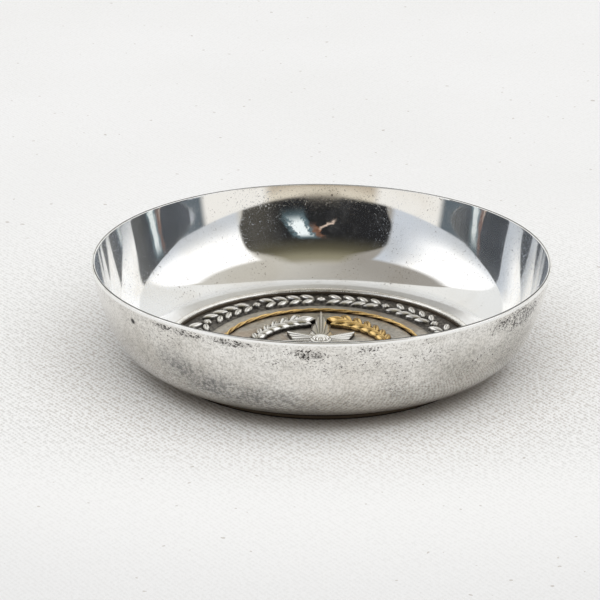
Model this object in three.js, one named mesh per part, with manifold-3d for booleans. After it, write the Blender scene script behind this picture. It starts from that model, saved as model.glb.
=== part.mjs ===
// A small round dish of silver-plated brass with a 68 mm medal set in its floor.
//
// The dish is spun from sheet and has a round opening in its floor. A turned mount ring drops
// through that opening. Above the floor it ends in a bead that frames the medal, and below the
// floor it is the foot that the dish stands on. The medal lies on a ledge inside the mount ring,
// under the bead's burnished lip. Its emblem is made of separate pieces, whose studs pass through
// the medal and are peened over at the back. A base plate inside the foot covers the studs.
//
// Units are millimetres, +Z is up, and the origin is the centre of the foot's resting face.

import * as THREE from "three";
import { mergeVertices } from "three/addons/utils/BufferGeometryUtils.js";
import Module from "manifold-3d";

const wasm = await Module();
wasm.setup();

// ---------------------------------------------------------------- driving dimensions

const RIM_RADIUS = 50;
const RIM_HEIGHT = 23.4;
const WALL = 0.8; // sheet thickness of the dish
const FOOT_RADIUS = 34.6;
const FLOOR_BOTTOM = 1.5; // underside of the dish at its opening, above the table
const MEDAL_RADIUS = 34; // a 68 mm medal
const MEDAL_BOTTOM = 1.1;
const BAND_HEIGHT = 2.1; // the medal's outer band, which carries the garland
const FIELD_HEIGHT = 2.3; // the medal's flat field, which carries the emblem

const TURNS = 64; // facets round the dish and every piece that nests in it
const SLIP = 0.05; // clearance between nested pieces
const CUTTER_MARGIN = 1; // cutters run past the faces that they cut by this much

// ---------------------------------------------------------------- materials

const metal = (color, roughness) =>
  new THREE.MeshStandardMaterial({ color, roughness, metalness: 1 });

const polishedSilver = metal(0xdcdad4, 0.16);
const antiqueSilver = metal(0x8e8a82, 0.38);
const wornSilver = metal(0xc9c6be, 0.26);
const gilt = metal(0xd9a950, 0.28);
const plainBrass = metal(0xb08d4c, 0.4);

// ---------------------------------------------------------------- helpers

// A ring or disc turned about +Z, from a closed profile of [radius, height] points that runs
// anticlockwise: out along the bottom, up the outside and back in along the top.
function turned(profile, segments = TURNS) {
  const points = profile.map(([radius, height]) => new THREE.Vector2(radius, height));
  return new THREE.LatheGeometry(points, segments).rotateX(Math.PI / 2);
}

function around(radius, degrees) {
  const angle = THREE.MathUtils.degToRad(degrees);
  return [radius * Math.cos(angle), radius * Math.sin(angle)];
}

function solidOf(geometry) {
  const bare = geometry.clone();
  bare.deleteAttribute("normal");
  bare.deleteAttribute("uv");
  const merged = mergeVertices(bare);
  const index = merged.index.array;
  return new wasm.Manifold(
    new wasm.Mesh({
      numProp: 3,
      vertProperties: new Float32Array(merged.attributes.position.array),
      triVerts: new Uint32Array(index),
    }),
  );
}

function geometryOf(solid) {
  const { vertProperties, triVerts } = solid.getMesh();
  return closedMesh(vertProperties, triVerts);
}

function closedMesh(positions, triangles) {
  const geometry = new THREE.BufferGeometry();
  geometry.setAttribute("position", new THREE.BufferAttribute(new Float32Array(positions), 3));
  geometry.setIndex(new THREE.BufferAttribute(new Uint32Array(triangles), 1));
  geometry.computeVertexNormals();
  return geometry;
}

function joined(geometries) {
  return geometries.map(solidOf).reduce((whole, piece) => whole.add(piece));
}

// A closed mesh through rings of equally many points, stacked upwards, with a flat cap at each
// end that fans from the axis.
function stacked(rings) {
  const count = rings[0].length;
  const lastRing = count * (rings.length - 1);
  const positions = rings.flat(2);
  const bottomCentre = positions.length / 3;
  const topCentre = bottomCentre + 1;
  positions.push(0, 0, rings[0][0][2], 0, 0, rings.at(-1)[0][2]);
  const triangles = [];
  for (let i = 0; i < count; i++) {
    const next = (i + 1) % count;
    triangles.push(bottomCentre, next, i, topCentre, lastRing + i, lastRing + next);
    for (let low = 0; low < lastRing; low += count) {
      const high = low + count;
      triangles.push(low + i, low + next, high + next, low + i, high + next, high + i);
    }
  }
  return closedMesh(positions, triangles);
}

const dish = new THREE.Group();

function addPart(name, geometry, material) {
  const mesh = new THREE.Mesh(geometry, material);
  mesh.name = name;
  dish.add(mesh);
}

// ---------------------------------------------------------------- bowl shell

const OPENING_RADIUS = FOOT_RADIUS + SLIP;
const FLOOR_SLOPE = THREE.MathUtils.degToRad(13.5); // the floor rises gently from its opening
const RIM_SLOPE = THREE.MathUtils.degToRad(78); // the wall still leans out at the rim
const FLOOR_REACH = 10.5; // how strongly each end's direction holds before the wall bends
const RIM_REACH = 14.75;
const WALL_STEPS = 13;
const RIM_EASE = 0.15; // the rim's two edges are eased by this much

// The outside of the wall, from the opening's lower edge to the rim's outer edge.
function outerWall() {
  const start = new THREE.Vector2(OPENING_RADIUS, FLOOR_BOTTOM);
  const end = new THREE.Vector2(RIM_RADIUS, RIM_HEIGHT);
  const floorWay = new THREE.Vector2(Math.cos(FLOOR_SLOPE), Math.sin(FLOOR_SLOPE));
  const rimWay = new THREE.Vector2(Math.cos(RIM_SLOPE), Math.sin(RIM_SLOPE));
  return new THREE.CubicBezierCurve(
    start,
    start.clone().addScaledVector(floorWay, FLOOR_REACH),
    end.clone().addScaledVector(rimWay, -RIM_REACH),
    end,
  );
}

function bowlShell() {
  const wall = outerWall();
  const outside = [];
  const inside = [];
  for (let i = 0; i <= WALL_STEPS; i++) {
    const point = wall.getPoint(i / WALL_STEPS);
    const way = wall.getTangent(i / WALL_STEPS);
    outside.push([point.x, point.y]);
    inside.unshift([point.x - way.y * WALL, point.y + way.x * WALL]);
  }
  // The rim is cut flat, with both its edges eased.
  const innerRim = RIM_RADIUS - WALL;
  outside[WALL_STEPS] = [RIM_RADIUS, RIM_HEIGHT - RIM_EASE];
  inside[0] = [innerRim, RIM_HEIGHT - RIM_EASE];
  const rim = [
    [RIM_RADIUS - RIM_EASE, RIM_HEIGHT],
    [innerRim + RIM_EASE, RIM_HEIGHT],
  ];
  // The opening is cut square to the table.
  inside[WALL_STEPS][0] = OPENING_RADIUS;
  return turned([...outside, ...rim, ...inside, outside[0]]);
}

addPart("bowl_shell", bowlShell(), polishedSilver);

// ---------------------------------------------------------------- mount ring

const LEDGE_RADIUS = 32.4; // the medal rests on the ring from here outwards
const BEAD_RADIUS = 35.1;
const BEAD_BASE = 2.5; // the bead bears on the floor of the dish
const BEAD_SPRING = 2.7; // where its round back begins
const BEAD_TOP = 3.35;
const LIP_RADIUS = 33.75; // the bead's lip covers the edge of the medal
const BEAD_STEPS = 5;
const FOOT_EASE = 0.25;

function mountRing() {
  const seat = MEDAL_RADIUS + SLIP;
  const middle = (BEAD_RADIUS + LIP_RADIUS) / 2;
  const halfWidth = (BEAD_RADIUS - LIP_RADIUS) / 2;
  const back = [];
  for (let i = 0; i <= BEAD_STEPS; i++) {
    const angle = (Math.PI * i) / BEAD_STEPS;
    back.push([
      middle + halfWidth * Math.cos(angle),
      BEAD_SPRING + (BEAD_TOP - BEAD_SPRING) * Math.sin(angle),
    ]);
  }
  return turned([
    [LEDGE_RADIUS, 0],
    [FOOT_RADIUS - FOOT_EASE, 0],
    [FOOT_RADIUS, FOOT_EASE],
    [FOOT_RADIUS, BEAD_BASE],
    [BEAD_RADIUS, BEAD_BASE],
    ...back,
    [LIP_RADIUS, BAND_HEIGHT + SLIP],
    [seat, BAND_HEIGHT + SLIP],
    [seat, MEDAL_BOTTOM],
    [LEDGE_RADIUS, MEDAL_BOTTOM],
    [LEDGE_RADIUS, 0],
  ]);
}

addPart("mount_ring", mountRing(), polishedSilver);

// ---------------------------------------------------------------- base plate

const PLATE_BOTTOM = 0.4; // the plate sits inside the foot, clear of the table

function basePlate() {
  const edge = LEDGE_RADIUS - SLIP;
  return turned([
    [0, PLATE_BOTTOM],
    [edge, PLATE_BOTTOM],
    [edge, MEDAL_BOTTOM],
    [0, MEDAL_BOTTOM],
  ]);
}

addPart("base_plate", basePlate(), plainBrass);

// ---------------------------------------------------------------- studs

const STUD_RADIUS = 0.5;
const STUD_HEAD_RADIUS = 0.85; // the peened end fills a countersink in the medal's back
const STUD_SIDES = 12;

const ROPE_RADIUS = 22; // the rope ring's middle line
const SPRIG_RADIUS = 14.8; // the sprigs' stems lie on this circle
const SPRIG_BUTT = 11; // degrees from the nearest east or west point to a sprig's cut end
const SPRIG_TIP = 68;

// The four sprigs grow from the east and west points towards the north and south ones.
const sprigQuadrants = [
  { name: "laurel_sprig_northeast", turn: 0, mirrored: false, material: gilt },
  { name: "laurel_sprig_northwest", turn: 180, mirrored: true, material: wornSilver },
  { name: "laurel_sprig_southwest", turn: 180, mirrored: false, material: gilt },
  { name: "laurel_sprig_southeast", turn: 0, mirrored: true, material: wornSilver },
];

const sprigTurn = (along) => SPRIG_BUTT + (SPRIG_TIP - SPRIG_BUTT) * along;

const rivetPlace = [0, 0];
const ropeStuds = [0, 90, 180, 270].map((degrees) => [ROPE_RADIUS, degrees]);
const sprigStuds = [0.2, 0.8].map((along) => [SPRIG_RADIUS, sprigTurn(along)]);

// A stud from its peened end up to a given height, at a distance and bearing from the centre.
// Given a slip it is the cutter for the stud's hole instead, and runs out of the medal's back.
function stud([distance, degrees], top, slip = 0) {
  const shank = STUD_RADIUS + slip;
  const head = STUD_HEAD_RADIUS + slip;
  const bottom = MEDAL_BOTTOM + (slip ? -CUTTER_MARGIN : SLIP);
  const headEdge = MEDAL_BOTTOM + 2 * SLIP + slip;
  const [x, y] = around(distance, degrees);
  const profile = [
    [0, bottom],
    [head, bottom],
    [head, headEdge],
    [shank, headEdge + head - shank],
    [shank, top],
    [0, top],
  ];
  return turned(profile, STUD_SIDES).translate(x, y, 0);
}

// ---------------------------------------------------------------- medal

const BAND_INNER = 25.9;
const FIELD_RADIUS = 25.6;
const GARLAND_RADIUS = 29.4; // the garland's middle line
const GARLAND_UNITS = 60;
const UNITS_PER_BINDING = 5; // every fifth unit is a binding and not a pair of leaves
const GARLAND_LEAF = { length: 4.2, width: 1.65, rise: 0.85 };
const GARLAND_SPREAD = 1.35; // each leaf of a pair stands off the middle line by this much
const GARLAND_TILT = THREE.MathUtils.degToRad(32);
const BINDING_SIZE = 2.3;

// A low pointed leaf, centred on the origin with its length along +X.
function leaf({ length, width, rise }, scale = 1) {
  const half = scale / 2;
  return new THREE.OctahedronGeometry(1).scale(length * half, width * half, rise * scale);
}

// A running garland of leaf pairs, bound at equal intervals.
function garland() {
  const pieces = [];
  for (let i = 0; i < GARLAND_UNITS; i++) {
    const bearing = (2 * Math.PI * i) / GARLAND_UNITS;
    if (i % UNITS_PER_BINDING === 0) {
      const size = { length: BINDING_SIZE, width: BINDING_SIZE, rise: GARLAND_LEAF.rise };
      const binding = leaf(size).translate(GARLAND_RADIUS, 0, BAND_HEIGHT);
      pieces.push(binding.rotateZ(bearing));
      continue;
    }
    for (const side of [-1, 1]) {
      const blade = leaf(GARLAND_LEAF).rotateZ(Math.PI / 2 - side * GARLAND_TILT);
      blade.translate(GARLAND_RADIUS + side * GARLAND_SPREAD, 0, BAND_HEIGHT);
      pieces.push(blade.rotateZ(bearing));
    }
  }
  return pieces;
}

function studHoles() {
  const sprigHoles = sprigQuadrants.flatMap(({ turn, mirrored }) =>
    sprigStuds.map(([distance, degrees]) => [distance, turn + (mirrored ? -degrees : degrees)]),
  );
  return [rivetPlace, ...ropeStuds, ...sprigHoles].map((place) =>
    stud(place, FIELD_HEIGHT + CUTTER_MARGIN, SLIP),
  );
}

function medalDisc() {
  const blank = turned([
    [0, MEDAL_BOTTOM],
    [MEDAL_RADIUS, MEDAL_BOTTOM],
    [MEDAL_RADIUS, BAND_HEIGHT],
    [BAND_INNER, BAND_HEIGHT],
    [FIELD_RADIUS, FIELD_HEIGHT],
    [0, FIELD_HEIGHT],
  ]);
  const struck = joined([blank, ...garland()]);
  return geometryOf(struck.subtract(joined(studHoles())));
}

addPart("medal_disc", medalDisc(), antiqueSilver);

// ---------------------------------------------------------------- compass star

const STAR_POINTS = 8;
const STAR_REACH = 20; // every other point is a long one
const STAR_SHORT_REACH = 10.6;
const STAR_NOTCH = 6.4;
const STAR_EDGE = FIELD_HEIGHT + 0.9; // top of the star's sheer outline
const STAR_SEAT = FIELD_HEIGHT + 1.9; // flat at the middle, under the boss
const SEAT_RADIUS = 2.4;

// An eight-pointed star whose facets rise from its outline to a flat seat at the middle.
function star() {
  const outline = [];
  const seat = [];
  for (let i = 0; i < STAR_POINTS * 2; i++) {
    const degrees = (180 * i) / STAR_POINTS;
    const pointReach = i % 4 ? STAR_SHORT_REACH : STAR_REACH;
    outline.push(around(i % 2 ? STAR_NOTCH : pointReach, degrees));
    seat.push(around(SEAT_RADIUS, degrees));
  }
  const at = (ring, height) => ring.map(([x, y]) => [x, y, height]);
  const body = stacked([at(outline, FIELD_HEIGHT), at(outline, STAR_EDGE), at(seat, STAR_SEAT)]);
  const hole = stud(rivetPlace, STAR_SEAT + CUTTER_MARGIN, SLIP);
  return geometryOf(solidOf(body).subtract(solidOf(hole)));
}

addPart("compass_star", star(), wornSilver);

// ---------------------------------------------------------------- centre rivet

const BOSS_RADIUS = 2.3;
const BOSS_RISE = 1.3;
const BOSS_STEPS = 4;
const BOSS_SIDES = 24;

// The domed rivet that holds the star: its shank goes through the star and the medal.
function centreRivet() {
  const dome = [];
  for (let i = 0; i < BOSS_STEPS; i++) {
    const angle = (Math.PI / 2) * (i / BOSS_STEPS);
    dome.push([BOSS_RADIUS * Math.cos(angle), STAR_SEAT + BOSS_RISE * Math.sin(angle)]);
  }
  const head = turned([[0, STAR_SEAT], ...dome, [0, STAR_SEAT + BOSS_RISE]], BOSS_SIDES);
  return geometryOf(joined([head, stud(rivetPlace, STAR_SEAT + BOSS_RISE / 2)]));
}

addPart("centre_rivet", centreRivet(), wornSilver);

// ---------------------------------------------------------------- rope ring

const ROPE_THICKNESS = 0.42; // section radius of the laid rope, before its strands bulge
const ROPE_CENTRE = FIELD_HEIGHT + 0.3; // the rope is flattened where it lies on the field
const ROPE_LAY = 36; // twists round the whole ring
const STEPS_PER_TWIST = 4;
const ROPE_SIDES = 8;
const STRANDS = 2;
const STRAND_BULGE = 0.22;

function ropeRing() {
  const positions = [];
  const triangles = [];
  const rings = ROPE_LAY * STEPS_PER_TWIST;
  const id = (ring, side) => (ring % rings) * ROPE_SIDES + (side % ROPE_SIDES);
  for (let i = 0; i < rings; i++) {
    const bearing = (2 * Math.PI * i) / rings;
    for (let j = 0; j < ROPE_SIDES; j++) {
      const angle = (2 * Math.PI * j) / ROPE_SIDES;
      const bulge = 1 + STRAND_BULGE * Math.cos(STRANDS * angle - ROPE_LAY * bearing);
      const reach = ROPE_RADIUS + ROPE_THICKNESS * bulge * Math.cos(angle);
      const height = ROPE_CENTRE + ROPE_THICKNESS * bulge * Math.sin(angle);
      positions.push(reach * Math.cos(bearing), reach * Math.sin(bearing));
      positions.push(Math.max(height, FIELD_HEIGHT));
      triangles.push(id(i, j), id(i + 1, j), id(i + 1, j + 1));
      triangles.push(id(i, j), id(i + 1, j + 1), id(i, j + 1));
    }
  }
  const rope = closedMesh(positions, triangles);
  return geometryOf(joined([rope, ...ropeStuds.map((place) => stud(place, ROPE_CENTRE))]));
}

addPart("rope_ring", ropeRing(), gilt);

// ---------------------------------------------------------------- laurel sprigs

const STEM_WIDTH = 0.9;
const STEM_RISE = 1.1;
const KNOT_RADIUS = 1.1;
const LEAF_PAIRS = 6;
const SPRIG_LEAF = { length: 5.2, width: 2.3, rise: 1.7 };
const BUTT_LEAF_SCALE = 0.6; // the leaves grow from this size at the butt to full size
const LEAF_ANGLE = 36; // degrees between a leaf and the stem
const LEAF_ROOT = 0.38; // how far along its own length a leaf is centred off the stem

function stem() {
  const [from, to] = [SPRIG_BUTT, SPRIG_TIP].map(THREE.MathUtils.degToRad);
  const outline = new THREE.Shape();
  outline.absarc(0, 0, SPRIG_RADIUS + STEM_WIDTH / 2, from, to, false);
  outline.absarc(0, 0, SPRIG_RADIUS - STEM_WIDTH / 2, to, from, true);
  return new THREE.ExtrudeGeometry(outline, {
    depth: STEM_RISE,
    curveSegments: LEAF_PAIRS * 2,
    bevelEnabled: false,
  });
}

// One sprig in the north-east quadrant, with its underside at height zero.
function sprigBody() {
  const pieces = [stem()];
  const [buttX, buttY] = around(SPRIG_RADIUS, SPRIG_BUTT);
  pieces.push(new THREE.OctahedronGeometry(KNOT_RADIUS, 1).translate(buttX, buttY, 0));
  const addLeaf = (scale, bearing, lean) => {
    const blade = leaf(SPRIG_LEAF, scale).translate(SPRIG_LEAF.length * scale * LEAF_ROOT, 0, 0);
    const [x, y] = around(SPRIG_RADIUS, bearing);
    blade.rotateZ(THREE.MathUtils.degToRad(bearing + 90 + lean));
    pieces.push(blade.translate(x, y, 0));
  };
  for (let i = 1; i <= LEAF_PAIRS; i++) {
    const along = i / LEAF_PAIRS;
    const scale = THREE.MathUtils.lerp(BUTT_LEAF_SCALE, 1, along);
    const bearing = sprigTurn(along - 0.5 / LEAF_PAIRS);
    addLeaf(scale, bearing, LEAF_ANGLE);
    addLeaf(scale, bearing, -LEAF_ANGLE);
  }
  addLeaf(1, SPRIG_TIP, 0);
  const below = new THREE.BoxGeometry(RIM_RADIUS * 2, RIM_RADIUS * 2, RIM_HEIGHT);
  below.translate(0, 0, -RIM_HEIGHT / 2);
  return geometryOf(joined(pieces).subtract(solidOf(below)));
}

function sprig({ turn, mirrored }) {
  const body = sprigBody().translate(0, 0, FIELD_HEIGHT);
  const studs = sprigStuds.map((place) => stud(place, FIELD_HEIGHT + STEM_RISE / 2));
  let solid = joined([body, ...studs]);
  if (mirrored) solid = solid.mirror([0, 1, 0]);
  return geometryOf(solid.rotate([0, 0, turn]));
}

for (const quadrant of sprigQuadrants) {
  addPart(quadrant.name, sprig(quadrant), quadrant.material);
}

export default dish;
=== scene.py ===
"""A silver-plated dish with a framed medal in its floor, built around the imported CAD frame.

Lengths are in metres, +Z is up and the origin is the centre of the foot's resting face. The CAD
gives every piece's place and size. Here each faceted piece is rebuilt smooth and in full relief.
"""

import math

import bmesh
import bpy
import numpy as np
from mathutils import Matrix, Vector


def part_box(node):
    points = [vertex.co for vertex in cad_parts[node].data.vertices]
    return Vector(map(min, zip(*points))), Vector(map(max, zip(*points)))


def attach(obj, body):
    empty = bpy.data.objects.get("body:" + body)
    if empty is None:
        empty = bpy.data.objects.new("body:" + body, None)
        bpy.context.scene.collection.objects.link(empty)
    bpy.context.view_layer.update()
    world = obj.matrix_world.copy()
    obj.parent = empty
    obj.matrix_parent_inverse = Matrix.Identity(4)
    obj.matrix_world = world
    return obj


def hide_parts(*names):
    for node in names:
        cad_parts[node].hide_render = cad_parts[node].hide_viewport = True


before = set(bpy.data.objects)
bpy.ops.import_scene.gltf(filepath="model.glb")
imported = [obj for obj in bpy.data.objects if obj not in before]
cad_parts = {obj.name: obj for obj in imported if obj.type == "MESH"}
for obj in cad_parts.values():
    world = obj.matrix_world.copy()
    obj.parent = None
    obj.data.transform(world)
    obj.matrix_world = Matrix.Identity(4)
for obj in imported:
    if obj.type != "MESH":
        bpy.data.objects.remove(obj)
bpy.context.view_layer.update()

MM = 0.001
TAU = 2 * math.pi
BODY = "root"

# ---------------------------------------------------------------- sizes taken from the frame

bowl_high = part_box("bowl_shell")[1]
medal_low, medal_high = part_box("medal_disc")
mount_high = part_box("mount_ring")[1]
plate_low, plate_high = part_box("base_plate")
star_low, star_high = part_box("compass_star")
rivet_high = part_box("centre_rivet")[1]

RIM_RADIUS = bowl_high.x
RIM_HEIGHT = bowl_high.z
MEDAL_RADIUS = medal_high.x
MEDAL_BOTTOM = medal_low.z
FIELD_HEIGHT = star_low.z
BEAD_RADIUS = mount_high.x
BEAD_TOP = mount_high.z

# These are the CAD model's own sizes too, but no box gives them.
WALL = 0.8 * MM
FOOT_RADIUS = 34.6 * MM
FLOOR_BOTTOM = 1.5 * MM
BAND_HEIGHT = 2.1 * MM
SLIP = 0.05 * MM

# ---------------------------------------------------------------- mesh helpers


def link(name, mesh):
    thing = bpy.data.objects.new(name, mesh)
    bpy.context.scene.collection.objects.link(thing)
    return thing


def from_bmesh(name, bm):
    mesh = bpy.data.meshes.new(name)
    bmesh.ops.recalc_face_normals(bm, faces=bm.faces)
    bm.to_mesh(mesh)
    bm.free()
    return link(name, mesh)


def smooth(thing, degrees=40):
    """Smooth shading, with an edge kept crisp where its faces turn by more than this."""
    thing.data.shade_smooth()
    thing.data.set_sharp_from_angle(angle=math.radians(degrees))
    return thing


def finish_piece(thing, slot, materials, *nodes):
    """Gives a piece its materials and its body, and hides the CAD nodes it replaces. The slot is not
    used.
    """
    for material in materials:
        thing.data.materials.append(material)
    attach(thing, BODY)
    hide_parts(*nodes)
    return thing


def lathe(name, profile, segments=256, material_of=None):
    """A closed body turned about +Z from (radius, height) points, each ring joined to the next.

    A profile that starts on the axis ends on it, and any other is joined up into a loop.
    material_of gives a material index from a stretch's number.
    """
    bm = bmesh.new()
    rings = []
    for radius, height in profile:
        if radius == 0:
            rings.append([bm.verts.new((0, 0, height))])
            continue
        turns = [TAU * i / segments for i in range(segments)]
        rings.append(
            [bm.verts.new((radius * math.cos(a), radius * math.sin(a), height)) for a in turns]
        )
    pairs = list(zip(rings, rings[1:]))
    if len(rings[0]) > 1:
        pairs.append((rings[-1], rings[0]))
    for stretch, (low, high) in enumerate(pairs):
        for i in range(segments):
            j = (i + 1) % segments
            corners = [low[i % len(low)], low[j % len(low)]]
            corners += [high[j % len(high)], high[i % len(high)]]
            face = bm.faces.new(list(dict.fromkeys(corners)))
            if material_of:
                face.material_index = material_of(stretch)
    return from_bmesh(name, bm)


def arc(centre, radius, start, end, steps):
    """Points on a circle's arc between two angles in degrees, both ends included."""
    points = []
    for i in range(steps + 1):
        angle = math.radians(start + (end - start) * i / steps)
        points.append((centre[0] + radius * math.cos(angle), centre[1] + radius * math.sin(angle)))
    return points


# ---------------------------------------------------------------- node helpers


class Graph:
    """A short way to write a node tree. Each method adds nodes and returns the last one's output."""

    def __init__(self, tree):
        self.tree = tree
        tree.nodes.clear()

    def node(self, kind, inputs=(), output=0, **settings):
        made = self.tree.nodes.new(kind)
        for key, value in settings.items():
            setattr(made, key, value)
        for key, value in dict(inputs).items():
            if isinstance(value, bpy.types.NodeSocket):
                self.tree.links.new(value, made.inputs[key])
            else:
                made.inputs[key].default_value = value
        return made.outputs[output] if made.outputs else made

    def math(self, operation, *values, clamp=False):
        return self.node(
            "ShaderNodeMath", enumerate(values), operation=operation, use_clamp=clamp
        )

    def times(self, first, second, clamp=False):
        return self.math("MULTIPLY", first, second, clamp=clamp)

    def plus(self, first, second, clamp=False):
        return self.math("ADD", first, second, clamp=clamp)

    def minus(self, first, second, clamp=False):
        return self.math("SUBTRACT", first, second, clamp=clamp)

    def larger(self, first, second):
        return self.math("MAXIMUM", first, second)

    def unsigned(self, value):
        return self.math("ABSOLUTE", value)

    def place(self):
        """Where on the object, in metres."""
        return self.node("ShaderNodeTexCoord", output=3)

    def distance(self, x, y):
        """How far from the turning axis."""
        return self.math("SQRT", self.plus(self.times(x, x), self.times(y, y)))

    def bearing(self, x, y):
        """Which way from the turning axis, in degrees from -Y towards +X."""
        turn = self.math("ARCTAN2", x, self.times(y, -1.0))
        return self.times(turn, math.degrees(1))

    def split(self, vector):
        made = self.tree.nodes.new("ShaderNodeSeparateXYZ")
        self.tree.links.new(vector, made.inputs[0])
        return made.outputs

    def stretch(self, vector, scale):
        return self.node("ShaderNodeMapping", {"Vector": vector, "Scale": scale})

    def noise(self, vector, scale, detail=3.0, roughness=0.55, distortion=0.0):
        """Soft noise from 0 to 1. On the object, scale counts its waves in a metre."""
        inputs = {
            "Vector": vector,
            "Scale": scale,
            "Detail": detail,
            "Roughness": roughness,
            "Distortion": distortion,
        }
        return self.node("ShaderNodeTexNoise", inputs)

    def step(self, value, low, high):
        """0 below low, 1 above high, and smooth between; low may be the larger."""
        inputs = {"Value": value, "From Min": low, "From Max": high}
        return self.node("ShaderNodeMapRange", inputs, interpolation_type="SMOOTHSTEP")

    def between(self, value, low, high, soft):
        """1 between low and high, falling to 0 over soft on both sides."""
        rise = self.step(value, low - soft / 2, low + soft / 2)
        fall = self.step(value, high + soft / 2, high - soft / 2)
        return self.times(rise, fall)

    def scale(self, value, low, high):
        """Turns 0..1 into low..high."""
        return self.node("ShaderNodeMapRange", {"Value": value, "To Min": low, "To Max": high})

    def mix(self, factor, first, second):
        """A colour mix. The first and second are colours or colour outputs."""
        made = self.tree.nodes.new("ShaderNodeMix")
        made.data_type = "RGBA"
        for index, value in ((0, factor), (6, first), (7, second)):
            if isinstance(value, bpy.types.NodeSocket):
                self.tree.links.new(value, made.inputs[index])
            elif index:
                made.inputs[index].default_value = (*value, 1)
            else:
                made.inputs[index].default_value = value
        return made.outputs[2]

    def tint(self, color, tone, mask, strength):
        """Lays a tone over a colour where the mask is 1, at this strength."""
        return self.mix(self.times(mask, strength), color, tone)

    def bump(self, height, distance, strength=1.0, normal=None):
        inputs = {"Height": height, "Distance": distance, "Strength": strength}
        if normal:
            inputs["Normal"] = normal
        return self.node("ShaderNodeBump", inputs)

    def open(self, reach):
        """1 on open surface, falling towards 0 in creases narrower than reach."""
        return self.node("ShaderNodeAmbientOcclusion", {"Distance": reach}, output=1, samples=6)

    def metal(self, color, roughness, normal=None, metallic=1.0):
        inputs = {"Roughness": roughness, "Metallic": metallic}
        inputs["Base Color"] = (*color, 1) if isinstance(color, tuple) else color
        if normal:
            inputs["Normal"] = normal
        return self.node("ShaderNodeBsdfPrincipled", inputs)

    def surface(self, shader):
        self.node("ShaderNodeOutputMaterial", {"Surface": shader})


def material_graph(name):
    material = bpy.data.materials.new(name)
    material.use_nodes = True
    return material, Graph(material.node_tree)


def metal_output(graph, color, roughness, normal=None):
    graph.surface(graph.metal(color, roughness, normal))


# ---------------------------------------------------------------- materials

SILVER = (0.95, 0.945, 0.93)
RIM_DARK_REFLECTION = (0.03, 0.027, 0.024)  # painted dark reflection in the rim's flat top

VEIL, SPECK = (0.88, 0.86, 0.82), (0.16, 0.12, 0.09)
BROWN_POLISH, BROWN_REACH = (0.46, 0.34, 0.23), 4 * MM
BROWN_LINE = (1.5 * MM, 1.7 * MM)  # a line of it runs this far past the bead
# How far past the bead the floor's dullness starts to fade, and where it is gone.
DULL_FROM, DULL_TO = 1.5 * MM, 5 * MM
FILM_FROM, FILM_TO = 24 * MM, 46 * MM  # the film grows between these distances to each side
COLD_HAZE, WARM_HAZE, HAZE_ROUGHNESS = (0.8, 0.88, 1.0), (0.92, 0.89, 0.83), 0.45


def polished_silver():
    """The inside of the dish: a mirror with dust, dark specks and a faint veil of tarnish."""
    material, g = material_graph("polished_silver")
    place = g.place()
    x, y = g.split(place)[:2]
    veil = g.step(g.noise(place, 70, 4, 0.6), 0.42, 0.72)
    clusters = g.step(g.noise(place, 130, 3, 0.6), 0.42, 0.66)
    specks = g.step(g.noise(place, 1900, 2, 0.6), 0.635, 0.68)
    specks = g.times(specks, clusters)
    dust = g.step(g.noise(place, 2400, 2, 0.6), 0.57, 0.72)
    dust = g.times(dust, g.step(g.noise(place, 45, 2, 0.5), 0.38, 0.62))
    color = g.mix(veil, SILVER, VEIL)
    color = g.tint(color, SPECK, specks, 0.8)
    # Old polish has dried brown on the floor round the mount.
    past_bead = g.minus(g.distance(x, y), BEAD_RADIUS)
    crumbs = g.step(g.noise(place, 520, 4, 0.7), 0.5, 0.72)
    dried = g.times(g.step(past_bead, BROWN_REACH, 0), crumbs)
    line = g.between(past_bead, *BROWN_LINE, 0.4 * MM)
    dried = g.larger(dried, g.times(line, g.scale(veil, 0.1, 0.6)))
    color = g.tint(color, BROWN_POLISH, dried, 0.6)
    rough = g.scale(veil, 0.03, 0.07)
    rough = g.plus(rough, g.times(g.plus(specks, dust), 0.22))
    normal = g.bump(g.noise(place, 45, 1, 0.4), 0.05 * MM)
    mirror = g.metal(color, rough, normal)
    # Wiping has left a film of fine scratches, and more of it towards the sides.
    film = g.step(g.unsigned(x), FILM_FROM, FILM_TO)
    film = g.times(g.plus(film, 0.1), g.scale(g.noise(place, 60, 4, 0.6), 0.0, 0.36))
    film = g.plus(film, g.times(dust, 0.3), clamp=True)
    # The floor round the mount is dull too, where it is hard to wipe.
    dull = g.times(g.step(past_bead, DULL_TO, DULL_FROM), 0.6)
    film = g.larger(film, dull)
    haze = g.metal(g.mix(dull, COLD_HAZE, WARM_HAZE), HAZE_ROUGHNESS, normal)
    g.surface(g.node("ShaderNodeMixShader", {0: film, 1: mirror, 2: haze}))
    return material


# Patches on the outside, each given by its bearing in degrees, its height in millimetres, and how
# far it reaches in each. Black oxide is thick in the first set and thin in the second.
OXIDE_PATCHES = (
    (-37, 21.8, 11, 1.0),
    (-21, 21.8, 7, 1.0),
    (-4, 20.6, 6, 1.9),
    (11, 21.6, 4, 0.9),
    (56, 20.4, 14, 3.2),
)
SPARSE_PATCHES = (
    (-46, 19.0, 14, 3.0),
    (3, 18.5, 24, 3.5),
    (19, 12.5, 5, 4.0),
    (28, 18.5, 9, 3.0),
    (44, 13.5, 10, 4.0),
    (60, 14.0, 12, 6.0),
)
# Grey stains, dark in the first set and faint in the second.
STAIN_PATCHES = (
    (-38, 12.6, 10, 3.2),
    (-30, 10.0, 9, 4.0),
    (-20, 7.5, 12, 3.6),
    (-8, 5.0, 16, 3.0),
)
FAINT_PATCHES = (
    (-16, 10.0, 9, 3.5),
    (25, 9.0, 12, 3.5),
    (37, 14.0, 12, 5.0),
    (60, 14.0, 13, 7.0),
)
NICK = (-52.6, 20.0, 1.0, 0.75)

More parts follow.
